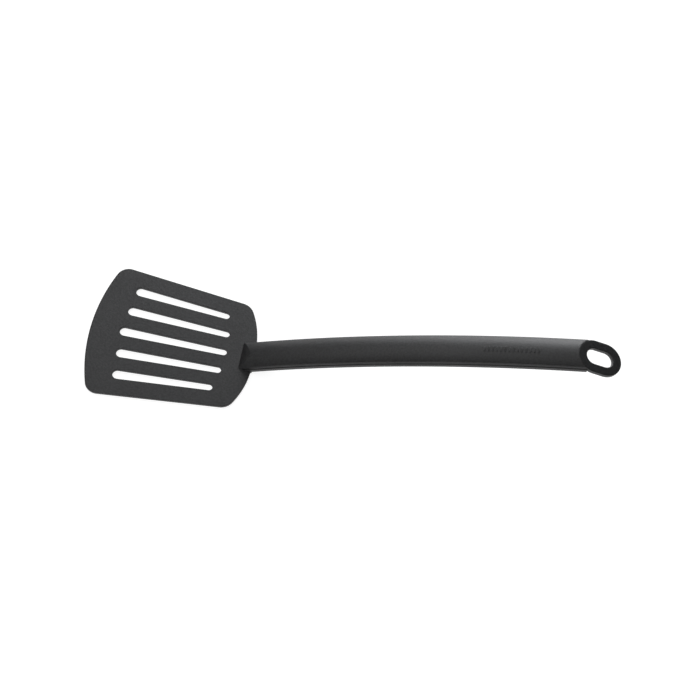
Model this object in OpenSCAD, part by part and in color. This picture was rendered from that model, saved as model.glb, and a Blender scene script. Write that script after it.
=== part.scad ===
// Slotted grill spatula in black nylon: a flat fan-shaped blade, a hollow arched handle made of
// a lower and an upper shell, and a hanging ring held between the two shells.
// Millimetres. The origin is on the blade's underside, below the front foot of the handle.
// -X points to the blade's front edge, +X to the hanging ring, +Z up. The blade lies on Z = 0.

/* [Blade] */
// middle of the front edge to the heel, where the lower shell of the handle starts
blade_length = 103; // [95:1:110]
// width between the front corners, before they are rounded
blade_front_width = 92; // [86:1:98]
// width between the rear corners, before they are rounded
blade_rear_width = 74; // [68:1:80]
// how far the front edge curves out ahead of its corners
front_bulge = 8.9; // [6:0.1:12]
// radius of the two curved rear edges
rear_edge_radius = 57; // [56:1:62]
// how far the rear corners lie ahead of the heel
rear_corner_setback = 9.2; // [8:0.1:11]
// rounding of the front corners
front_corner_radius = 8.2; // [6:0.1:10]
// rounding of the rear corners
rear_corner_radius = 9.2; // [7:0.1:11]
// thickness of the plate
blade_thickness = 2; // [1.6:0.1:2.4]

/* [Drain slots] */
// slots on each side of the middle one
side_slots = 2; // [1:1:2]
// slot width at the front end
slot_front_width = 6.2; // [5:0.1:7]
// slot width at the rear end
slot_rear_width = 4.4; // [4.2:0.1:5]
// distance between neighbouring slots at their rear ends
slot_pitch = 13; // [12:0.1:13.4]
// angle between neighbouring slots
slot_fan_angle = 2.17; // [1.5:0.01:2.5]
// middle of the front edge to the centre of the middle slot's front end
slot_front_margin = 21.3; // [18:0.1:26]
// heel to the centre of the middle slot's rear end
slot_rear_margin = 19.2; // [18:0.1:24]

/* [Handle] */
// radius of the arch, along the handle's underside
arch_radius = 830; // [700:10:1000]
// slope of the handle where it leaves the blade, in degrees
heel_slope = 31; // [28:0.5:33]
// length of the underside from the heel to where the hanging ring's front end sits above it
handle_length = 203; // [190:1:215]
// width across the lower shell
handle_width = 20.3; // [19.8:0.1:20.6]
// height of the whole handle at its middle
handle_height = 8; // [7.8:0.1:8.4]
// height of the seam between the two shells
seam_height = 3.8; // [3.6:0.1:4]
// wall thickness of both shells
shell_wall = 2; // [1.8:0.1:2.2]
// slope of the handle's front face, in degrees
front_face_slope = 52; // [48:1:58]

/* [Hanging ring] */
// outside length of the ring
ring_length = 27.2; // [26:0.1:29]
// outside width of the ring
ring_width = 20.8; // [20.6:0.1:21.4]
// width of the ring's band
ring_band = 5.4; // [5:0.1:5.8]
// thickness of the ring
ring_thickness = 2.8; // [2.6:0.1:3.2]
// how far the ring slopes down towards its end, in degrees
ring_droop = 10.4; // [8:0.1:13]

/* [Hidden] */
$fn = 96;
arch_fn = 1440;
heel_x = 8;
heel_lift = 0.35;
// reach of blocks that only cut things away, an overlap that joins solids, and a hair's breadth
far = 400;
face_reach = 100;
margin = 1;
touch = 0.01;
hair = 0.02;

// centre of the handle's arch, seen from the side
arch_centre = [heel_x, heel_lift] + arch_radius * [sin(heel_slope), -cos(heel_slope)];

// blade
front_x = heel_x - blade_length;
front_half = blade_front_width / 2;
rear_half = blade_rear_width / 2;
front_arc_radius = (front_half ^ 2 + front_bulge ^ 2) / (2 * front_bulge);
front_arc_centre = [front_x + front_arc_radius, 0];
front_corner = [front_x + front_bulge, front_half];
rear_corner = [heel_x - rear_corner_setback, rear_half];
neck_half = handle_width / 2;
neck_corner = [heel_x, neck_half];
rear_arc_centre = arc_centre(neck_corner, rear_corner, rear_edge_radius);
bevel_width = 1.2;
bevel_depth = 0.6;
corner_reach = 2.2;

// how much the outer slots' rear and front ends lie further ahead and further back
slot_rear_step = 0.9;
slot_front_step = 1.5;

// shells
inner_half = handle_width / 2 - shell_wall;
ledge = 0.5;
cover_half = handle_width / 2 - ledge;
crown_radius = 18;
crown_centre = handle_height - crown_radius;
cover_edge_radius = 1.8;
cover_edge_height = crown_centre
  + sqrt((crown_radius - cover_edge_radius) ^ 2 - (cover_half - cover_edge_radius) ^ 2);
crown_edge = (cover_half - cover_edge_radius) * crown_radius / (crown_radius - cover_edge_radius);
base_edge_radius = 2;
cavity_step = 0.4;
cavity_half = inner_half - cavity_step;
end_wall = 3;

// how far the sweeps run on past the heel and past the ring's front end, before they are cut
base_lead = 8;
cover_lead = 16;
tang_lead = 10;
shell_overrun = 9;
shank_overrun = 2;

// what reaches into the handle: the blade's tang and the ring's shank, both lying on the floor
tang_width = 12;
tang_thickness = 2.4;
tang_length = 52;
root_x = 3;
root_room = 10;
shank_length = 30;
shank_thickness = 3.4;
insert_gap = 0.2;
peg_radius = 2;
peg_gap = 0.1;
boss_radius = 3.6;
peg_clearance = 0.3;
peg_top = handle_height - shell_wall - peg_clearance;
room_margin = 1;
tang_pegs = [14, 40];
middle_pegs = [88, 134];
shank_pegs = [182];

// hanging ring
ring_recess = 0.25;
ring_seat = handle_height - ring_recess;
ring_radius = ring_width / 2;
ring_front = path_point(handle_length, ring_seat);
ring_hole_length = ring_length - 2 * ring_band;
ring_hole_width = ring_width - 2 * ring_band;
ring_gap = 0.05;
mouth_margin = 1.2;
mouth_depth = 12;

// where the shells end, measured back from the ring's front end and square to its face: there
// their side walls have thinned to these values beside the round end of the ring
base_end_wall = 0.3;
cover_end_wall = 0.5;
base_end = ring_setback(handle_width / 2 - base_end_wall);
cover_end = ring_setback(cover_half - cover_end_wall);

// ---- helpers ----

// centre of the circle of radius r that passes through a and b and lies to the left of a -> b
function arc_centre(a, b, r) =
  let (m = (a + b) / 2, d = b - a, l = norm(d), h = sqrt(r ^ 2 - l ^ 2 / 4))
  m + h * [-d.y, d.x] / l;

// how far behind the ring's front end its round end reaches a distance from the middle plane
function ring_setback(half) = ring_radius - sqrt(ring_radius ^ 2 - half ^ 2);

// slope of the arch at a distance s along the underside
function slope_at(s) = heel_slope - s / arch_radius * 180 / PI;

// point at distance s along the underside and height n above it, seen from the side
function path_point(s, n) =
  arch_centre + (arch_radius + n) * [-sin(slope_at(s)), cos(slope_at(s))];

// centre of a rounding of radius r between the blade's side and an arc; pick is -1 or 1
function rounding_centre(arc_mid, arc_r, r, pick) =
  let (
    u = (rear_corner - front_corner) / norm(rear_corner - front_corner),
    n = [u.y, -u.x],
    p = front_corner + r * n,
    w = arc_mid - p,
    along = w * u,
    off = norm(w - along * u)
  )
  p + (along + pick * sqrt((arc_r - r) ^ 2 - off ^ 2)) * u;

// sweeps a section along the arch from s0 to s1; the section has the height above the
// underside as its x and the distance across the handle as its y
module along_arch(s0, s1) {
  translate([arch_centre.x, 0, arch_centre.y])
    rotate([90, 0, 0])
      rotate([0, 0, 90 + slope_at(s1)])
        rotate_extrude(angle = slope_at(s0) - slope_at(s1), $fn = arch_fn)
          translate([arch_radius, 0])
            children();
}

// stands something on the arch at distance s, with its Z square to the underside
module on_arch(s) {
  at = path_point(s, 0);
  translate([at.x, 0, at.y])
    rotate([0, -slope_at(s), 0])
      children();
}

// draws a side-view outline (X, Z) as a slab of the given width across Y
module side_slab(points, width) {
  translate([0, width / 2, 0])
    rotate([90, 0, 0])
      linear_extrude(width)
        polygon(points);
}

// puts the ring's own frame in place: X along the ring from its front end, Z out of its face
module in_ring_frame() {
  translate([ring_front.x, 0, ring_front.y])
    rotate([0, ring_droop, 0])
      children();
}

module stadium(length, width) {
  reach = (length - width) / 2;
  square([2 * reach, width], center = true);
  for (side = [-1, 1])
    translate([side * reach, 0])
      circle(d = width);
}

// ---- blade ----

// one corner of the blade's outline, cut off and rounded again
module rounded_corner(arc_mid, arc_r, r, pick) {
  c = rounding_centre(arc_mid, arc_r, r, pick);
  u = (rear_corner - front_corner) / norm(rear_corner - front_corner);
  on_side = c + r * [-u.y, u.x];
  on_arc = arc_mid + arc_r * (c - arc_mid) / norm(c - arc_mid);
  towards = (on_side + on_arc) / 2 - c;
  beyond = c + corner_reach * r * towards / norm(towards);
  difference() {
    children();
    polygon([c, on_side, beyond, on_arc]);
  }
  translate(c)
    circle(r);
}

module blade_half() {
  rounded_corner(rear_arc_centre, rear_edge_radius, rear_corner_radius, 1)
    rounded_corner(front_arc_centre, front_arc_radius, front_corner_radius, -1)
      intersection() {
        translate(front_arc_centre)
          circle(front_arc_radius, $fn = 360);
        translate(rear_arc_centre)
          circle(rear_edge_radius, $fn = 180);
        polygon([
          [front_x - margin, -touch],
          front_corner + (front_corner - rear_corner) / 4,
          rear_corner + (rear_corner - front_corner) / 4,
          [heel_x + rear_corner_setback, -touch]
        ]);
      }
}

module blade_outline() {
  intersection() {
    union() {
      blade_half();
      mirror([0, 1])
        blade_half();
      translate([heel_x - rear_corner_setback, -neck_half])
        square([rear_corner_setback, 2 * neck_half]);
    }
    translate([heel_x - far, -far / 2])
      square([far, far]);
  }
}

// one drain slot, narrower towards the handle; i counts from the middle slot
module drain_slot(i) {
  front_r = slot_front_width / 2;
  rear_r = slot_rear_width / 2;
  rear_mid = [heel_x - slot_rear_margin - slot_rear_step * i ^ 2, slot_pitch * i];
  reach = rear_mid.x - (front_x + slot_front_margin + slot_front_step * abs(i));
  length = reach / cos(slot_fan_angle * i);
  lean = asin((front_r - rear_r) / length);
  translate(rear_mid)
    rotate(180 - slot_fan_angle * i) {
      circle(rear_r);
      translate([length, 0])
        circle(front_r);
      // the straight sides run a hair inside the round ends, so that they cross them cleanly
      polygon([
        (rear_r - hair) * [-sin(lean), cos(lean)],
        [length, 0] + (front_r - hair) * [-sin(lean), cos(lean)],
        [length, 0] + (front_r - hair) * [-sin(lean), -cos(lean)],
        (rear_r - hair) * [-sin(lean), -cos(lean)]
      ]);
    }
}

module blade() {
  root = path_point(0, shell_wall + tang_thickness / 2);
  color([0.07, 0.07, 0.075]) {
    difference() {
      linear_extrude(blade_thickness)
        difference() {
          blade_outline();
          for (i = [-side_slots : side_slots])
            drain_slot(i);
        }
      // bevel along the front edge
      translate([front_arc_centre.x, 0, 0])
        rotate_extrude($fn = 360)
          polygon([
            [front_arc_radius - bevel_width, blade_thickness + touch],
            [front_arc_radius + margin, blade_thickness + touch],
            [front_arc_radius + margin, blade_thickness - bevel_depth * (1 + margin / bevel_width)]
          ]);
    }
    // tang that rises into the handle, with two holes for the pegs
    difference() {
      intersection() {
        along_arch(-tang_lead, tang_length)
          translate([shell_wall, -tang_width / 2])
            square([tang_thickness, tang_width]);
        translate([0, -far / 2, blade_thickness / 2])
          cube([far, far, far]);
      }
      for (s = tang_pegs)
        on_arch(s)
          cylinder(h = 2 * handle_height, r = peg_radius + insert_gap);
    }
    // solid root between the plate and the tang
    side_slab([
      [root_x, blade_thickness / 2],
      [heel_x, blade_thickness / 2],
      [heel_x, root.y + (heel_x - root.x) * tan(heel_slope)],
      [root_x, root.y + (root_x - root.x) * tan(heel_slope)]
    ], tang_width);
  }
}

// ---- handle shells ----

module base_section() {
  half = handle_width / 2;
  difference() {
    union() {
      translate([base_edge_radius, -half])
        square([seam_height - base_edge_radius, handle_width]);
      translate([0, -half + base_edge_radius])
        square([seam_height, handle_width - 2 * base_edge_radius]);
      for (side = [-1, 1])
        translate([base_edge_radius, side * (half - base_edge_radius)])
          circle(base_edge_radius);
    }
    translate([shell_wall, -inner_half])
      square([handle_height, 2 * inner_half]);
    translate([seam_height, -handle_width])
      square([handle_height, 2 * handle_width]);
  }
}

module cover_section() {
  difference() {
    union() {
      translate([seam_height, -cover_half])
        square([cover_edge_height - seam_height, 2 * cover_half]);
      for (side = [-1, 1])
        translate([cover_edge_height, side * (cover_half - cover_edge_radius)])
          circle(cover_edge_radius);
      intersection() {
        translate([crown_centre, 0])
          circle(crown_radius, $fn = 360);
        translate([seam_height, -crown_edge])
          square([handle_height, 2 * crown_edge]);
      }
    }
    translate([seam_height - handle_height, -handle_width])
      square([handle_height, 2 * handle_width]);
  }
}

module cavity_section() {
  intersection() {
    translate([crown_centre, 0])
      circle(crown_radius - shell_wall, $fn = 360);
    translate([seam_height - touch, -cavity_half])
      square([handle_height, 2 * cavity_half]);
  }
}

// everything ahead of the handle's front face, moved back by an offset
module ahead_of_front_face(offset) {
  foot = offset / sin(front_face_slope);
  run = face_reach / tan(front_face_slope);
  side_slab([
    [foot - run, blade_thickness - face_reach],
    [foot + run, blade_thickness + face_reach],
    [-far, blade_thickness + face_reach],
    [-far, blade_thickness - face_reach]
  ], face_reach);
}

// the space the blade's plate takes up, and all below it
module below_blade_top() {
  translate([heel_x - far, -far / 2, blade_thickness - far])
    cube([far, far, far]);
}

// the space from a depth below the hanging ring's face upwards, as wide as the ring
module ring_space(depth, gap) {
  in_ring_frame()
    translate([ring_length / 2, 0, -depth])
      linear_extrude(depth + handle_height)
        stadium(ring_length + 2 * gap, ring_width + 2 * gap);
}

// the hanging hole, widened and carried down through the handle's end
module ring_mouth() {
  in_ring_frame()
    translate([ring_length / 2, 0, -mouth_depth])
      linear_extrude(mouth_depth + handle_height)
        stadium(ring_hole_length + 2 * mouth_margin, ring_hole_width + 2 * mouth_margin);
}

// all that lies further back than a distance from the ring's front end
module past_ring_front(distance) {
  in_ring_frame()
    translate([distance, -handle_width, -handle_width])
      cube(2 * handle_width);
}

module pegs(stations) {
  for (s = stations)
    on_arch(s)
      translate([0, 0, shell_wall - touch])
        cylinder(h = peg_top - shell_wall + touch, r = peg_radius);
}

module handle_base() {
  color([0.05, 0.05, 0.055]) {
    difference() {
      along_arch(-base_lead, handle_length + shell_overrun)
        base_section();
      below_blade_top();
      past_ring_front(base_end);
      ring_space(ring_thickness, 0);
      ring_mouth();
      // room for the root of the tang
      translate([heel_x - root_room, -tang_width / 2 - insert_gap, 0])
        cube([root_room, tang_width + 2 * insert_gap, root_room]);
    }
    pegs(tang_pegs);
    pegs(middle_pegs);
    pegs(shank_pegs);
  }
}

// sockets under the crown; each one takes a peg of the lower shell
module sockets(stations, foot) {
  for (s = stations)
    intersection() {
      on_arch(s)
        translate([0, 0, foot])
          cylinder(h = handle_height, r = boss_radius);
      along_arch(0, handle_length)
        translate([0, -cavity_half])
          square([handle_height - shell_wall / 2, 2 * cavity_half]);
    }
}

module handle_cover() {
  color([0.075, 0.075, 0.08])
    difference() {
      union() {
        difference() {
          along_arch(-cover_lead, handle_length + shell_overrun)
            cover_section();
          difference() {
            along_arch(-cover_lead, handle_length - end_wall)
              cavity_section();
            ahead_of_front_face(shell_wall);
          }
        }
        sockets(tang_pegs, shell_wall + tang_thickness);
        sockets(middle_pegs, seam_height);
        sockets(shank_pegs, shell_wall + shank_thickness);
      }
      ahead_of_front_face(0);
      below_blade_top();
      past_ring_front(cover_end);
      ring_space(handle_height, ring_gap);
      for (s = concat(tang_pegs, middle_pegs, shank_pegs))
        on_arch(s)
          cylinder(h = peg_top + peg_gap, r = peg_radius + peg_gap);
      // room for the tang and the shank
      along_arch(-tang_lead, tang_length + room_margin)
        translate([0, -tang_width / 2 - insert_gap])
          square([shell_wall + tang_thickness, tang_width + 2 * insert_gap]);
      along_arch(handle_length - shank_length - room_margin, handle_length)
        translate([0, -tang_width / 2 - insert_gap])
          square([shell_wall + shank_thickness, tang_width + 2 * insert_gap]);
    }
}

// ---- hanging ring ----

module hanging_ring() {
  color([0.035, 0.035, 0.04]) {
    in_ring_frame()
      translate([ring_length / 2, 0, -ring_thickness])
        linear_extrude(ring_thickness)
          difference() {
            stadium(ring_length, ring_width);
            stadium(ring_hole_length, ring_hole_width);
          }
    // shank clamped between the shells
    difference() {
      along_arch(handle_length - shank_length, handle_length + shank_overrun)
        translate([shell_wall, -tang_width / 2])
          square([shank_thickness, tang_width]);
      ring_mouth();
      for (s = shank_pegs)
        on_arch(s)
          cylinder(h = 2 * handle_height, r = peg_radius + insert_gap);
    }
  }
}

// ---- assembly ----

blade();
handle_base();
handle_cover();
hanging_ring();
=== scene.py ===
import math

import bmesh
import bpy
from mathutils import Matrix, Vector
from mathutils.geometry import delaunay_2d_cdt


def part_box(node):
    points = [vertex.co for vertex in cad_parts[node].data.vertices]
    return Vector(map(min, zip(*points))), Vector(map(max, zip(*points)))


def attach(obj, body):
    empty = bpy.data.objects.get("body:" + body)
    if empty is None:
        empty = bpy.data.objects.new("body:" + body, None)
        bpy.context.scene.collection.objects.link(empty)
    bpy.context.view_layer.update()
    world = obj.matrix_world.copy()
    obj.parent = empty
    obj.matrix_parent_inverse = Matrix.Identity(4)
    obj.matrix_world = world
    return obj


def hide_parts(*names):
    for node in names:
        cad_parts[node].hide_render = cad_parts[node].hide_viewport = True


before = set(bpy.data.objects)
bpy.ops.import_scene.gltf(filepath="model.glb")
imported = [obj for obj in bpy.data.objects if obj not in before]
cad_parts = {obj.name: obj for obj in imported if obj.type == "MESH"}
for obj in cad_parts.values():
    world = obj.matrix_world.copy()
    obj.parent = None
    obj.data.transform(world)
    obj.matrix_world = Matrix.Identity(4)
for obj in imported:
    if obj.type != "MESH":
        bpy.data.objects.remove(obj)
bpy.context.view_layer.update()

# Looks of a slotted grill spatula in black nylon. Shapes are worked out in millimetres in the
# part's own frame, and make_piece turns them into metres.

MM = 0.001

# vertices closer than this are one vertex, and points closer than touch count as the same place
merge_distance = 0.001
touch = 0.01
# how many times a search along the arch halves the stretch it looks in
halvings = 40


def node_box(node):
    """Lowest and highest corner of a CAD node, in millimetres."""
    low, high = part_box(node)
    return low / MM, high / MM


# ---- driving dimensions: the CAD source's values, or read from the CAD boxes ----

blade_low = node_box("blade")[0]
base_high = node_box("handle_base")[1]
cover_high = node_box("handle_cover")[1]
ring_low, ring_high = node_box("hanging_ring")

# blade
heel_x = 8.0
front_x = blade_low.x
blade_thickness = 2.0
front_half = 46.0
rear_half = 37.0
front_bulge = 8.9
rear_edge_radius = 57.0
rear_corner_setback = 9.2
front_corner_radius = 8.2
rear_corner_radius = 9.2

# drain slots
side_slots = 2
slot_front_width = 6.2
slot_rear_width = 4.4
slot_pitch = 13.0
slot_fan_angle = math.radians(2.17)
slot_front_margin = 21.3
slot_rear_margin = 19.2
slot_front_step = 1.5
slot_rear_step = 0.9

# handle
arch_radius = 830.0
heel_slope = math.radians(31)
heel_lift = 0.35
handle_length = 203.0
handle_height = 8.0
seam_height = 3.8
shell_wall = 2.0
front_face_slope = math.radians(52)
base_half = base_high.y
cover_half = cover_high.y
channel_half = base_half - shell_wall
base_edge_radius = 2.0
crown_radius = 18.0
cover_edge_radius = 1.8
tang_half = 6.0
tang_thickness = 2.4
tang_length = 52.0
shank_length = 30.0
shank_thickness = 3.4
# how far the tang starts ahead of the handle, and the shank runs on into the ring
tang_root = 3.0
shank_root = 1.2
bar_chamfer = 0.4

# hanging ring
ring_length = 27.2
ring_width = ring_high.y - ring_low.y
ring_band = 5.4
ring_thickness = 2.8
ring_droop = math.radians(10.4)
ring_seat = handle_height - 0.25
ring_gap = 0.05
# the lower shell stops this much outside the ring's mouth
mouth_margin = 1.2
# how thick each shell's side still is where the ring's front cuts it off
base_end_wall = 0.3
cover_end_wall = 0.5

# where the shells' ends are searched for along the arch: inside the shell and outside it
base_start_inside = 10.0
base_start_outside = -8.0
cover_start_inside = 0.0
cover_start_outside = -16.0
shell_end_inside = handle_length - 10.0
shell_end_outside = handle_length + 9.0

arch_centre = Vector((
    heel_x + arch_radius * math.sin(heel_slope),
    heel_lift - arch_radius * math.cos(heel_slope),
))


# ---- places ----

def arch_point(s, y, n):
    """The point at distance s along the handle's underside, y across it and n above it."""
    slope = heel_slope - s / arch_radius
    reach = arch_radius + n
    return Vector((
        arch_centre.x - reach * math.sin(slope),
        y,
        arch_centre.y + reach * math.cos(slope),
    ))


ring_front = arch_point(handle_length, 0, ring_seat)
ring_frame = Matrix.Translation(ring_front) @ Matrix.Rotation(ring_droop, 4, "Y")
ring_frame_inverse = ring_frame.inverted()


def in_stadium(x, y, length, width):
    """True inside a round-ended slot shape that starts at x = 0."""
    reach = (length - width) / 2
    middle = length / 2
    return math.hypot(max(abs(x - middle) - reach, 0), y) < width / 2


def in_blade_space(p):
    return p.x < heel_x and p.z < blade_thickness


def ahead_of_front_face(p):
    return p.z - blade_thickness > p.x * math.tan(front_face_slope)


def in_ring_space(p, depth, gap):
    q = ring_frame_inverse @ p
    if q.z < -depth:
        return False
    return in_stadium(q.x + gap, q.y, ring_length + 2 * gap, ring_width + 2 * gap)


def past_ring_front(p, half):
    """True behind the place where the ring's round end is as wide as half on each side."""
    radius = ring_width / 2
    return (ring_frame_inverse @ p).x > radius - math.sqrt(radius ** 2 - half ** 2)


def in_ring_mouth(p):
    q = ring_frame_inverse @ p
    front = ring_band - mouth_margin
    length = ring_length - 2 * front
    return in_stadium(q.x - front, q.y, length, ring_width - 2 * front)


def distance_to(cut, y, n, inside, outside):
    """Distance along the arch at which the line at y, n runs into a cut."""
    if not cut(arch_point(outside, y, n)):
        return outside
    for _ in range(halvings):
        middle = (inside + outside) / 2
        if cut(arch_point(middle, y, n)):
            outside = middle
        else:
            inside = middle
    return inside


# ---- outlines ----

def turn(centre, radius, start, end, steps):
    """Points on an arc from one angle to another, both in radians."""
    return [
        (
            centre[0] + radius * math.cos(start + (end - start) * i / steps),
            centre[1] + radius * math.sin(start + (end - start) * i / steps),
        )
        for i in range(steps + 1)
    ]


def line(a, b, steps):
    """Points from a to b, without a itself."""
    return [
        (a[0] + (b[0] - a[0]) * i / steps, a[1] + (b[1] - a[1]) * i / steps)
        for i in range(1, steps + 1)
    ]


def stadium_path(reach, steps):
    """Centreline of a round-ended loop, as (centre x, direction out) pairs."""
    rows = []
    for side in (1, -1):
        middle = math.pi / 2 * (1 - side)
        for i in range(steps + 1):
            angle = middle - math.pi / 2 + math.pi * i / steps
            rows.append((side * reach, Vector((math.cos(angle), math.sin(angle)))))
    return rows


# ---- mesh helpers ----

def quad_strip(bm, first, second, closed=False):
    """Faces between two rows of vertices of the same length."""
    count = len(first)
    for i in range(count if closed else count - 1):
        j = (i + 1) % count
        corners = []
        for v in (first[i], first[j], second[j], second[i]):
            if v not in corners:
                corners.append(v)
        if len(corners) > 2:
            bm.faces.new(corners)


def make_object(name, bm):
    """Turns a bmesh in millimetres into a scene object in metres."""
    bmesh.ops.remove_doubles(bm, verts=bm.verts, dist=merge_distance)
    bmesh.ops.recalc_face_normals(bm, faces=bm.faces)
    bm.transform(Matrix.Scale(MM, 4))
    mesh = bpy.data.meshes.new(name)
    bm.to_mesh(mesh)
    bm.free()
    obj = bpy.data.objects.new(name, mesh)
    bpy.context.scene.collection.objects.link(obj)
    return obj


def combine(obj, tool, operation):
    """Adds the tool's shape to obj or cuts it away, and removes the tool."""
    step = obj.modifiers.new("combine", "BOOLEAN")
    step.operation = operation
    step.solver = "EXACT"
    step.object = tool
    graph = bpy.context.evaluated_depsgraph_get()
    joined = bpy.data.meshes.new_from_object(obj.evaluated_get(graph))
    obj.modifiers.clear()
    old = obj.data
    obj.data = joined
    joined.name = obj.name
    bpy.data.meshes.remove(old)
    tool_mesh = tool.data
    bpy.data.objects.remove(tool)
    bpy.data.meshes.remove(tool_mesh)


def make_piece(obj, node, material, crease=35):
    """Shades a finished mesh and puts it in the place of a CAD node."""
    obj.data.materials.clear()
    obj.data.materials.append(material)
    obj.data.polygons.foreach_set("use_smooth", [True] * len(obj.data.polygons))
    obj.data.polygons.foreach_set("material_index", [0] * len(obj.data.polygons))
    obj.data.set_sharp_from_angle(angle=math.radians(crease))
    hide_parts(node)
    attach(obj, "root")


def swept_bar(name, s_from, s_to, n_from, n_to, half, rows):
    """A flat bar that follows the arch, with its corners taken off."""
    edge = bar_chamfer
    profile = [
        (-half + edge, n_from), (half - edge, n_from), (half, n_from + edge),
        (half, n_to - edge), (half - edge, n_to), (-half + edge, n_to),
        (-half, n_to - edge), (-half, n_from + edge),
    ]
    bm = bmesh.new()
    rings = []
    for i in range(rows + 1):
        s = s_from + (s_to - s_from) * i / rows
        rings.append([bm.verts.new(arch_point(s, y, n)) for y, n in profile])
    for first, second in zip(rings, rings[1:]):
        quad_strip(bm, first, second, closed=True)
    bm.faces.new(rings[0])
    bm.faces.new(rings[-1])
    return make_object(name, bm)


# ---- blade ----

edge_steps = 5
# rounding of the plate's edges, and the longer one along the top of the front edge
plate_edge = 0.25
nose_width = 1.2
nose_height = 0.6
# a narrow flat border inside each rounding, so that it doesn't shade into the flat
edge_support = 0.15
# hollow rounding between the rear edge and the handle, tucked in under the handle's side
neck_web_radius = 0.9
neck_web_inset = 0.3


def arc_centre(a, b, radius):
    """Centre of the circle through a and b that lies to the left of the way from a to b."""
    middle = (a + b) / 2
    way = b - a
    height = math.sqrt(radius ** 2 - way.length_squared / 4)
    return middle + height * Vector((-way.y, way.x)) / way.length


def rounding_centre(front_corner, rear_corner, arc_mid, arc_radius, radius, pick):
    """Centre of a rounding between the blade's side and an arc."""
    along_side = (rear_corner - front_corner).normalized()
    inward = Vector((along_side.y, -along_side.x))
    start = front_corner + radius * inward
    to_arc = arc_mid - start
    along = to_arc.dot(along_side)
    off = (to_arc - along * along_side).length
    return start + (along + pick * math.sqrt((arc_radius - radius) ** 2 - off ** 2)) * along_side


def angle_of(v):
    return math.atan2(v.y, v.x)


def blade_outline():
    """The blade's edge from the heel's far end round the front to its near end, as (point,
    direction out, share of the front edge's nose) rows."""
    front_radius = (front_half ** 2 + front_bulge ** 2) / (2 * front_bulge)
    front_mid = Vector((front_x + front_radius, 0))
    front_corner = Vector((front_x + front_bulge, front_half))
    rear_corner = Vector((heel_x - rear_corner_setback, rear_half))
    neck = Vector((heel_x, base_half))
    rear_mid = arc_centre(neck, rear_corner, rear_edge_radius)
    front_round = rounding_centre(
        front_corner, rear_corner, front_mid, front_radius, front_corner_radius, -1)
    rear_round = rounding_centre(
        front_corner, rear_corner, rear_mid, rear_edge_radius, rear_corner_radius, 1)
    # the web's hollow rounding touches the rear edge and the handle's side
    web_side = base_half - neck_web_inset
    web_y = web_side + neck_web_radius
    web_reach = math.sqrt(
        (rear_edge_radius + neck_web_radius) ** 2 - (web_y - rear_mid.y) ** 2)
    web_mid = Vector((rear_mid.x + web_reach, web_y))
    web_angle = angle_of(rear_mid - web_mid)
    side_angle = angle_of(Vector((front_half - rear_half, rear_corner.x - front_corner.x)))
    front_angle = angle_of(front_round - front_mid)
    rear_angle = angle_of(rear_round - rear_mid)

    # each stretch: centre, radius, first and last angle, number of steps, nose at both ends
    stretches = [
        (web_mid, -neck_web_radius, math.pi / 2, web_angle + math.pi, 10, 0, 0),
        (rear_mid, rear_edge_radius, web_angle + math.pi, rear_angle, 24, 0, 0),
        (rear_round, rear_corner_radius, rear_angle, side_angle, 14, 0, 0),
        (front_round, front_corner_radius, side_angle, front_angle, 22, 0, 1),
        (front_mid, front_radius, front_angle, math.pi, 40, 1, 1),
    ]
    far_half = [(Vector((heel_x, web_side)), Vector((0, 0)), 0)]
    for centre, radius, start, end, steps, nose_from, nose_to in stretches:
        for i in range(steps + 1):
            share = i / steps
            angle = start + (end - start) * share
            out = Vector((math.cos(angle), math.sin(angle)))
            soft = share * share * (3 - 2 * share)
            nose = nose_from + (nose_to - nose_from) * soft
            point = centre + radius * out
            if radius < 0:
                # the edge's rounding fades out towards the web's tip, against the handle
                out *= min(1, (point.y - web_side) / (2 * plate_edge))
            if (point - far_half[-1][0]).length > touch:
                far_half.append((point, out, nose))
    near_half = [
        (Vector((p.x, -p.y)), Vector((out.x, -out.y)), nose)
        for p, out, nose in reversed(far_half[:-1])
    ]
    return far_half + near_half


def slot_outline(index):
    """One drain slot's edge, as (point, direction into the slot, 0) rows."""
    front_r = slot_front_width / 2
    rear_r = slot_rear_width / 2
    rear_mid = Vector((
        heel_x - slot_rear_margin - slot_rear_step * index ** 2,
        slot_pitch * index,
    ))
    front_end = front_x + slot_front_margin + slot_front_step * abs(index)
    length = (rear_mid.x - front_end) / math.cos(slot_fan_angle * index)
    lean = math.asin((front_r - rear_r) / length)
    heading = math.pi - slot_fan_angle * index
    front_mid = rear_mid + length * Vector((math.cos(heading), math.sin(heading)))
    half_turn = math.pi / 2
    rows = []
    for centre, radius, start, end in (
        (front_mid, front_r, -half_turn - lean, half_turn + lean),
        (rear_mid, rear_r, half_turn + lean, 3 * half_turn - lean),
    ):
        steps = 20
        for i in range(steps + 1):
            angle = heading + start + (end - start) * i / steps
            out = Vector((math.cos(angle), math.sin(angle)))
            rows.append((centre + radius * out, -out, 0))
    return rows


def edge_profile(nose):
    """Steps round the plate's edge from underside to top, as (distance in, height) pairs."""
    width = plate_edge + (nose_width - plate_edge) * nose
    height = plate_edge + (nose_height - plate_edge) * nose
    lower = [
        (plate_edge - plate_edge * math.sin(a), plate_edge - plate_edge * math.cos(a))
        for a in (math.pi / 2 * i / edge_steps for i in range(edge_steps + 1))
    ]
    upper = [
        (width - width * math.cos(a), blade_thickness - height + height * math.sin(a))
        for a in (math.pi / 2 * i / edge_steps for i in range(edge_steps + 1))
    ]
    under = [(plate_edge + edge_support, 0)]
    over = [(width + edge_support, blade_thickness)]
    return under + lower + upper + over


def edge_columns(bm, rows):
    """Vertices round one edge: a list for each point of the outline, from underside to top."""
    columns = []
    for point, out, nose in rows:
        column = []
        for inset, height in edge_profile(nose):
            at = point - inset * out
            column.append(bm.verts.new((at.x, at.y, height)))
        columns.append(column)
    return columns


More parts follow.
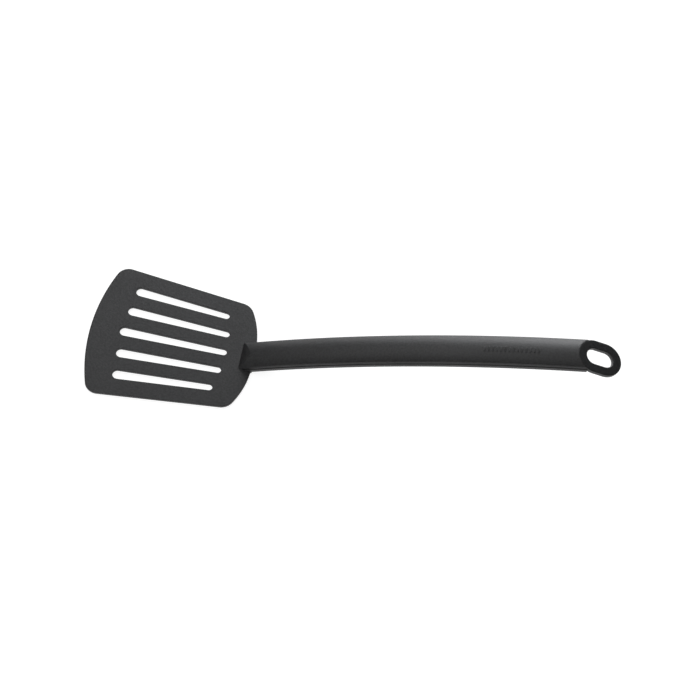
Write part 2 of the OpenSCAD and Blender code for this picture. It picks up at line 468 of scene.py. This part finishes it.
def fill_plate(bm, loops):
    """Fills the flat face between an outer loop of vertices and the slots' loops."""
    verts = [v for loop in loops for v in loop]
    edges = []
    first = 0
    for loop in loops:
        count = len(loop)
        edges += [(first + i, first + (i + 1) % count) for i in range(count)]
        first += count
    flat = [Vector((v.co.x, v.co.y)) for v in verts]
    points, _, faces, sources, _, _ = delaunay_2d_cdt(flat, edges, [], 1, 1e-5)
    holes = [[Vector((v.co.x, v.co.y)) for v in loop] for loop in loops[1:]]
    for face in faces:
        middle = sum((points[i] for i in face), Vector((0, 0))) / 3
        if not any(inside_loop(middle, hole) for hole in holes):
            bm.faces.new([verts[sources[i][0]] for i in face])


def inside_loop(p, loop):
    """True if p lies inside a closed outline."""
    inside = False
    for a, b in zip(loop, loop[1:] + loop[:1]):
        if (a.y > p.y) != (b.y > p.y):
            if p.x < a.x + (b.x - a.x) * (p.y - a.y) / (b.y - a.y):
                inside = not inside
    return inside


def build_blade():
    bm = bmesh.new()
    outer = edge_columns(bm, blade_outline())
    slots = [edge_columns(bm, slot_outline(i)) for i in range(-side_slots, side_slots + 1)]
    for first, second in zip(outer, outer[1:]):
        quad_strip(bm, first, second)
    for slot in slots:
        for first, second in zip(slot, slot[1:] + slot[:1]):
            quad_strip(bm, first, second)
    for level in (0, -1):
        fill_plate(bm, [[c[level] for c in loop] for loop in [outer] + slots])
    # the heel, flat against the handle's lower shell
    bm.faces.new(outer[0] + outer[-1][::-1])
    # behind the heel the web's underside rises with the handle's
    for v in bm.verts:
        if v.co.x > heel_x + touch:
            under = arch_centre.y + math.sqrt(arch_radius ** 2 - (v.co.x - arch_centre.x) ** 2)
            v.co.z = under + (blade_thickness - under) * v.co.z / blade_thickness
    plate = make_object("blade_plate", bm)
    tang = swept_bar(
        "tang", -tang_root, tang_length, shell_wall, shell_wall + tang_thickness, tang_half, 24)
    combine(plate, tang, "UNION")
    return plate


# ---- handle ----

rows_along = 64
lip_rounding = 0.35
seam_rounding = 0.3
face_rounding = 0.25
face_tolerance = 0.02


def spread(start, end, rows):
    return [start + (end - start) * i / rows for i in range(rows + 1)]


def mirrored(points):
    """A half outline that ends on the middle plane, with its mirror image added."""
    return points + [(-y, n) for y, n in reversed(points[:-1])]


def base_start(y, n):
    return distance_to(in_blade_space, y, n, base_start_inside, base_start_outside)


def base_end(y, n):
    def cut(p):
        in_ring = in_ring_space(p, ring_thickness, 0) or in_ring_mouth(p)
        return in_ring or past_ring_front(p, base_half - base_end_wall)

    return distance_to(cut, y, n, shell_end_inside, shell_end_outside)


def base_profile():
    """The lower shell's outside, from the near lip's inner corner round to the far one's."""
    out = [(-channel_half, seam_height)]
    out += line(out[-1], (-base_half + lip_rounding, seam_height), 2)
    out += turn(
        (-base_half + lip_rounding, seam_height - lip_rounding),
        lip_rounding, math.pi / 2, math.pi, 4)[1:]
    out += line(out[-1], (-base_half, base_edge_radius), 6)
    out += turn(
        (-base_half + base_edge_radius, base_edge_radius),
        base_edge_radius, math.pi, 3 * math.pi / 2, 10)[1:]
    out += line(out[-1], (0, 0), 24)
    return mirrored(out)


def build_base():
    outside = base_profile()
    inside = [
        (max(-channel_half, min(channel_half, y)), max(n, shell_wall)) for y, n in outside
    ]
    bm = bmesh.new()
    skins = []
    for profile in (outside, inside):
        columns = []
        for y, n in profile:
            stations = spread(base_start(y, n), base_end(y, n), rows_along)
            columns.append([bm.verts.new(arch_point(s, y, n)) for s in stations])
        for first, second in zip(columns, columns[1:]):
            quad_strip(bm, first, second)
        skins.append(columns)
    for level in (0, -1):
        quad_strip(bm, [c[level] for c in skins[0]], [c[level] for c in skins[1]])
    return make_object("handle_base_shell", bm)


crown_centre = handle_height - crown_radius
edge_centre = Vector((
    cover_half - cover_edge_radius,
    crown_centre + math.sqrt(
        (crown_radius - cover_edge_radius) ** 2 - (cover_half - cover_edge_radius) ** 2),
))
# height of the front face's foot above the arch
foot_height = (Vector((0, blade_thickness)) - arch_centre).length - arch_radius
foot_angle = math.asin((foot_height - edge_centre.y) / cover_edge_radius)
crown_angle = math.atan2(edge_centre.y - crown_centre, edge_centre.x)


def cover_start(y, n):
    def cut(p):
        return in_blade_space(p) or ahead_of_front_face(p)

    return distance_to(cut, y, n, cover_start_inside, cover_start_outside)


def cover_end(y, n):
    def cut(p):
        in_ring = in_ring_space(p, handle_height, ring_gap)
        return in_ring or past_ring_front(p, cover_half - cover_end_wall)

    return distance_to(cut, y, n, shell_end_inside, shell_end_outside)


def cover_profile():
    """The cover's outside, from the far seam over the crown to the near seam, and the index
    of the point that starts at the far end of the front face's foot."""
    out = [(cover_half - seam_rounding, seam_height)]
    out += turn(
        (cover_half - seam_rounding, seam_height + seam_rounding),
        seam_rounding, -math.pi / 2, 0, 3)[1:]
    out += line(out[-1], (cover_half, edge_centre.y), 1)
    out += turn(edge_centre, cover_edge_radius, 0, foot_angle, 6)[1:]
    foot = len(out) - 1
    out += turn(edge_centre, cover_edge_radius, foot_angle, crown_angle, 4)[1:]
    out += turn((0, crown_centre), crown_radius, crown_angle, math.pi / 2, 16)[1:]
    return mirrored(out), foot


def on_front_face(p):
    plane_height = blade_thickness + p.x * math.tan(front_face_slope)
    return abs(p.z - plane_height) < face_tolerance


def build_cover():
    profile, foot = cover_profile()
    bm = bmesh.new()
    columns = []
    for y, n in profile:
        stations = spread(cover_start(y, n), cover_end(y, n), rows_along)
        columns.append([bm.verts.new(arch_point(s, y, n)) for s in stations])
    for first, second in zip(columns, columns[1:]):
        quad_strip(bm, first, second)
    last = len(columns) - 1
    # underside, along the seam
    far_seam, near_seam = columns[0], columns[last]
    for i in range(rows_along - 1):
        bm.faces.new((far_seam[i], far_seam[i + 1], near_seam[i + 1], near_seam[i]))
    # front face, and the strip that stands on the blade
    bm.faces.new([c[0] for c in columns[foot:last - foot + 1]])
    bm.faces.new([c[0] for c in columns[:foot + 1] + columns[last - foot:]])
    # hollow end that fits round the ring
    end_top = [c[-1] for c in columns]
    inner = []
    end_seam = []
    for y, n in profile:
        if abs(y) < cover_half - seam_rounding - touch:
            inner.append(bm.verts.new(arch_point(cover_end(y, seam_height), y, seam_height)))
            end_seam.append(inner[-1])
        else:
            end_seam.append(far_seam[-1] if y > 0 else near_seam[-1])
    quad_strip(bm, end_top, end_seam)
    bm.faces.new([near_seam[-2], far_seam[-2], far_seam[-1]] + inner + [near_seam[-1]])
    bmesh.ops.remove_doubles(bm, verts=bm.verts, dist=merge_distance)
    bm.normal_update()
    face_edges = [
        e for e in bm.edges
        if e.is_valid and all(on_front_face(v.co) for v in e.verts)
        and any(abs(v.co.z - blade_thickness) > touch for v in e.verts)
        and len(e.link_faces) == 2
    ]
    bmesh.ops.bevel(
        bm, geom=face_edges, offset=face_rounding, offset_type="OFFSET",
        segments=5, profile=0.5, affect="EDGES", clamp_overlap=True)
    cover = make_object("handle_cover_shell", bm)
    combine(cover, build_ribs(), "UNION")
    return cover


# a short row of small raised ribs on the crown, near the ring
rib_count = 14
rib_pitch = 2.4
rib_middle = 165.2
rib_shift = -1.2
rib_length = 3.4
rib_width = 1.1
rib_height = 0.36
rib_rounding = 0.25
rib_root = 0.3
# the rounding's middle step, as a share of its height and width
rib_ease = 0.3
rib_round_steps = 8


def build_ribs():
    bm = bmesh.new()
    reach = (rib_length - rib_width) / 2
    for i in range(rib_count):
        s = rib_middle + rib_pitch * (i - (rib_count - 1) / 2)
        rings = []
        for level, inset in (
            (-rib_root, 0),
            (rib_height - rib_rounding, 0),
            (rib_height - rib_ease * rib_rounding, rib_ease * rib_rounding),
            (rib_height, rib_rounding),
        ):
            ring = []
            radius = rib_width / 2 - inset
            for middle, out in stadium_path(reach, rib_round_steps):
                y = rib_shift + middle + radius * out.x
                crown = crown_centre + math.sqrt(crown_radius ** 2 - y ** 2)
                ring.append(bm.verts.new(arch_point(s + radius * out.y, y, crown + level)))
            rings.append(ring)
        for first, second in zip(rings, rings[1:]):
            quad_strip(bm, first, second, closed=True)
        bm.faces.new(rings[0])
        bm.faces.new(rings[-1])
    return make_object("crown_ribs", bm)


# ---- hanging ring ----

ring_rounding = 0.55
ring_round_steps = 32
band_round_steps = 7
# a narrow flat border beside each rounding of the band
band_border = 0.1


def band_section():
    """The ring's band cut across, as (distance out from its centreline, height) pairs."""
    half = ring_band / 2
    tall = ring_thickness / 2
    points = []
    for side_out, side_up, quarter in ((1, 1, 0), (-1, 1, 1), (-1, -1, 2), (1, -1, 3)):
        centre = (side_out * (half - ring_rounding), side_up * (tall - ring_rounding))
        start = quarter * math.pi / 2
        end = (quarter + 1) * math.pi / 2
        arc = turn(centre, ring_rounding, start, end, band_round_steps)
        ahead = Vector((math.sin(start), -math.cos(start)))
        behind = Vector((math.sin(end), -math.cos(end)))
        points.append((arc[0][0] + band_border * ahead.x, arc[0][1] + band_border * ahead.y))
        points += arc
        points.append((arc[-1][0] - band_border * behind.x, arc[-1][1] - band_border * behind.y))
    return points


def build_ring():
    bm = bmesh.new()
    centreline = (ring_width - ring_band) / 2
    reach = (ring_length - ring_width) / 2
    section = band_section()
    rings = []
    for centre_x, out in stadium_path(reach, ring_round_steps):
        ring = []
        for outwards, up in section:
            far_out = centreline + outwards
            local = Vector((
                ring_length / 2 + centre_x + far_out * out.x,
                far_out * out.y,
                up - ring_thickness / 2,
            ))
            ring.append(bm.verts.new(ring_frame @ local))
        rings.append(ring)
    for first, second in zip(rings, rings[1:] + rings[:1]):
        quad_strip(bm, first, second, closed=True)
    ring = make_object("hanging_ring_loop", bm)
    shank = swept_bar(
        "shank", handle_length - shank_length, handle_length + shank_root,
        shell_wall, shell_wall + shank_thickness, tang_half, 12)
    combine(ring, shank, "UNION")
    return ring


# ---- materials ----

# the colour changes with a slow drift, this many millimetres in size, and with the mottle,
# which has this share of the change
drift_size = 38
mottle_share = 0.7
# how far the mottle takes the roughness to either side of its middle value
roughness_change = 0.05


def nylon(name, dark, light, roughness, grain, grain_height, mottle, mottle_height):
    """Matt moulded nylon: a fine spark-eroded grain over a softer, coarser mottle. Sizes are
    in millimetres; dark and light are the ends of the colour's range."""
    material = bpy.data.materials.new(name)
    material.use_nodes = True
    tree = material.node_tree
    tree.nodes.clear()

    def node(kind, **settings):
        made = tree.nodes.new(kind)
        for key, value in settings.items():
            setattr(made, key, value)
        return made

    def noise(size, detail):
        made = node("ShaderNodeTexNoise")
        made.inputs["Scale"].default_value = 1 / (size * MM)
        made.inputs["Detail"].default_value = detail
        made.inputs["Roughness"].default_value = 0.6
        tree.links.new(place.outputs["Object"], made.inputs["Vector"])
        return made

    def ranged(source, low, high, to_low, to_high):
        made = node("ShaderNodeMapRange")
        made.inputs["From Min"].default_value = low
        made.inputs["From Max"].default_value = high
        made.inputs["To Min"].default_value = to_low
        made.inputs["To Max"].default_value = to_high
        tree.links.new(source, made.inputs["Value"])
        return made.outputs["Result"]

    def bump(height, distance, below=None):
        made = node("ShaderNodeBump")
        made.inputs["Strength"].default_value = 1.0
        made.inputs["Distance"].default_value = distance * MM
        tree.links.new(height, made.inputs["Height"])
        if below is not None:
            tree.links.new(below, made.inputs["Normal"])
        return made.outputs["Normal"]

    place = node("ShaderNodeTexCoord")
    drift = noise(drift_size, 2)
    blotch = noise(mottle, 2)
    pits = noise(grain, 3)

    share = node("ShaderNodeMix", data_type="FLOAT")
    share.inputs["Factor"].default_value = mottle_share
    tree.links.new(ranged(drift.outputs["Fac"], 0.3, 0.7, 0, 1), share.inputs["A"])
    tree.links.new(ranged(blotch.outputs["Fac"], 0.35, 0.65, 0, 1), share.inputs["B"])

    tone = node("ShaderNodeMix", data_type="RGBA")
    tree.links.new(share.outputs["Result"], tone.inputs["Factor"])
    tone.inputs["A"].default_value = (*dark, 1)
    tone.inputs["B"].default_value = (*light, 1)

    shader = node("ShaderNodeBsdfPrincipled")
    shader.inputs["IOR"].default_value = 1.53
    tree.links.new(tone.outputs["Result"], shader.inputs["Base Color"])
    smoothest = roughness - roughness_change
    roughest = roughness + roughness_change
    tree.links.new(
        ranged(blotch.outputs["Fac"], 0.25, 0.75, smoothest, roughest),
        shader.inputs["Roughness"])
    coarse = bump(blotch.outputs["Fac"], mottle_height)
    fine = bump(pits.outputs["Fac"], grain_height, coarse)
    tree.links.new(fine, shader.inputs["Normal"])
    out = node("ShaderNodeOutputMaterial")
    tree.links.new(shader.outputs["BSDF"], out.inputs["Surface"])
    return material


# ---- stage, light and camera ----

# one brightness for the floor's own glow and for the white world round it
floor_glow = 0.88
floor_half = 3000.0
floor_drop = 0.1
floor_grey = 0.35
light_distance = 2.0
light_aim = Vector((0.06, 0, 0.03))

# the photograph's view, in millimetres and degrees
camera_distance = 800
camera_azimuth = -4.853
camera_elevation = 60
camera_roll = 16.108
camera_target = Vector((66.5, 21.25, 0))
sensor_width = 36
lens = 64.594


def build_floor():
    bm = bmesh.new()
    half = floor_half
    corners = [(-half, -half), (half, -half), (half, half), (-half, half)]
    bm.faces.new([bm.verts.new((x, y, -floor_drop)) for x, y in corners])
    floor = make_object("floor", bm)
    material = bpy.data.materials.new("floor_white")
    material.use_nodes = True
    shader = material.node_tree.nodes["Principled BSDF"]
    shader.inputs["Base Color"].default_value = (floor_grey, floor_grey, floor_grey, 1)
    shader.inputs["Roughness"].default_value = 0.9
    shader.inputs["Specular IOR Level"].default_value = 0.1
    shader.inputs["Emission Color"].default_value = (1, 1, 1, 1)
    shader.inputs["Emission Strength"].default_value = floor_glow
    floor.data.materials.append(material)


def softbox(name, azimuth, elevation, width, height, power, tint=(1, 1, 1)):
    """An area light that faces the spatula; azimuth 0 is on the +X side, 90 on the +Y side.
    Width and height are in metres, power in watts."""
    light = bpy.data.lights.new(name, "AREA")
    light.shape = "RECTANGLE"
    light.size = width
    light.size_y = height
    light.energy = power
    light.color = tint
    lamp = bpy.data.objects.new(name, light)
    a, e = math.radians(azimuth), math.radians(elevation)
    way = Vector((math.cos(a) * math.cos(e), math.sin(a) * math.cos(e), math.sin(e)))
    lamp.location = light_aim + light_distance * way
    lamp.rotation_mode = "QUATERNION"
    lamp.rotation_quaternion = way.to_track_quat("Z", "Y")
    lamp.visible_camera = False
    bpy.context.scene.collection.objects.link(lamp)
    return lamp


def build_world():
    """A plain white surround that is seen but gives no light: the softboxes do that."""
    world = bpy.data.worlds.new("studio")
    world.use_nodes = True
    back = world.node_tree.nodes["Background"]
    back.inputs["Color"].default_value = (1, 1, 1, 1)
    back.inputs["Strength"].default_value = floor_glow
    world.cycles_visibility.diffuse = False
    world.cycles_visibility.glossy = False
    bpy.context.scene.world = world


def build_camera():
    distance = camera_distance * MM
    azimuth = math.radians(camera_azimuth)
    elevation = math.radians(camera_elevation)
    roll = math.radians(camera_roll)
    target = camera_target * MM
    back = Vector((
        math.sin(azimuth) * math.cos(elevation),
        -math.cos(azimuth) * math.cos(elevation),
        math.sin(elevation),
    ))
    right = Vector((math.cos(azimuth), math.sin(azimuth), 0))
    up = back.cross(right)
    turned_right = right * math.cos(roll) + up * math.sin(roll)
    turned_up = up * math.cos(roll) - right * math.sin(roll)
    camera = bpy.data.cameras.new("camera")
    camera.sensor_width = sensor_width
    camera.lens = lens
    camera.clip_start = 0.01
    camera.clip_end = 50
    holder = bpy.data.objects.new("camera", camera)
    axes = Matrix((turned_right, turned_up, back)).transposed()
    holder.matrix_world = Matrix.Translation(target + distance * back) @ axes.to_4x4()
    bpy.context.scene.collection.objects.link(holder)
    bpy.context.scene.camera = holder


# ---- everything put together ----

shell_dark = (0.003, 0.003, 0.0032)
shell_light = (0.021, 0.021, 0.0222)
ring_dark = (0.006, 0.006, 0.0063)
ring_light = (0.012, 0.012, 0.0125)
# name, darkest, lightest, roughness, grain and its height, mottle and its height
blade_black = nylon("blade_black", shell_dark, shell_light, 0.52, 0.5, 0.06, 1.15, 0.075)
base_black = nylon("base_black", shell_dark, shell_light, 0.5, 0.5, 0.05, 1.15, 0.065)
cover_black = nylon("cover_black", shell_dark, shell_light, 0.5, 0.5, 0.05, 1.15, 0.065)
ring_black = nylon("ring_black", ring_dark, ring_light, 0.42, 0.5, 0.02, 1.4, 0.02)

make_piece(build_blade(), "blade", blade_black)
make_piece(build_base(), "handle_base", base_black)
make_piece(build_cover(), "handle_cover", cover_black)
make_piece(build_ring(), "hanging_ring", ring_black)

build_floor()
build_world()
# name, azimuth, elevation, width, height, power, and a tint where it isn't white
softbox("far_box", 88, 25, 1.5, 1.2, 34, (0.96, 0.975, 1))
softbox("far_strip", 90, 9, 2.0, 0.5, 9)
softbox("near_strip", 270, 12, 2.0, 0.6, 8)
softbox("near_left_strip", 212, 12, 1.6, 0.6, 2)
softbox("near_right_strip", 325, 12, 1.6, 0.6, 3)
softbox("left_box", 166, 55, 1.6, 1.2, 12)
softbox("top_box", 270, 75, 1.2, 1.2, 3)
build_camera()

scene = bpy.context.scene
scene.view_settings.view_transform = "Standard"
